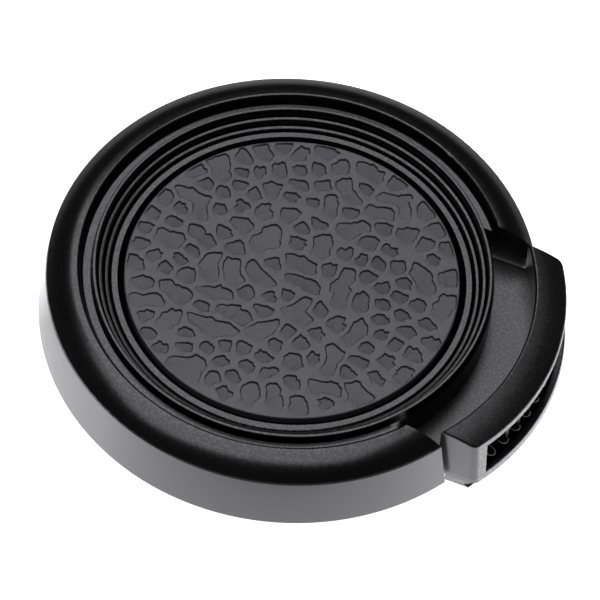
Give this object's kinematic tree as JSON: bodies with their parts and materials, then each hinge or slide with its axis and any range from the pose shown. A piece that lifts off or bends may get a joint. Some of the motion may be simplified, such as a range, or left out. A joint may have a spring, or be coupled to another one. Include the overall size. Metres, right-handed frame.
{
  "type": "camera lens cap",
  "caption": "Round clip-on lens cap with a stepped dish, a grained leatherette inlay and a spring-loaded release tab whose thread clamp grips the lens.",
  "frame": {"origin": "centre of the lens thread, on the plane of the cap's seat on the lens", "axes": "+Z along the optical axis, away from the lens; +X towards the release tab"},
  "size_m": [0.0422, 0.04, 0.0083],
  "materials": {
    "cap_plastic": "satin black moulded plastic",
    "leatherette": "matt charcoal with a sunken pebble grain",
    "tab_plastic": "satin black moulded plastic",
    "plate_plastic": "matt black plastic sheet",
    "spring_steel": "bright spring wire"
  },
  "bodies": {
    "housing": {"cap_body": "cap_plastic", "leatherette_disc": "leatherette", "back_plate": "plate_plastic", "spring_left": "spring_steel", "spring_right": "spring_steel"},
    "slide": {"release_slide": "tab_plastic"}
  },
  "joints": [
    {"name": "release_press", "type": "slide", "parent": "housing", "child": "slide", "axis": [-1, 0, 0], "range_m": [0, 0.0029], "stiffness_N_per_m": 450, "springref_m": -0.006, "deforming": ["spring_left", "spring_right"]}
  ]
}
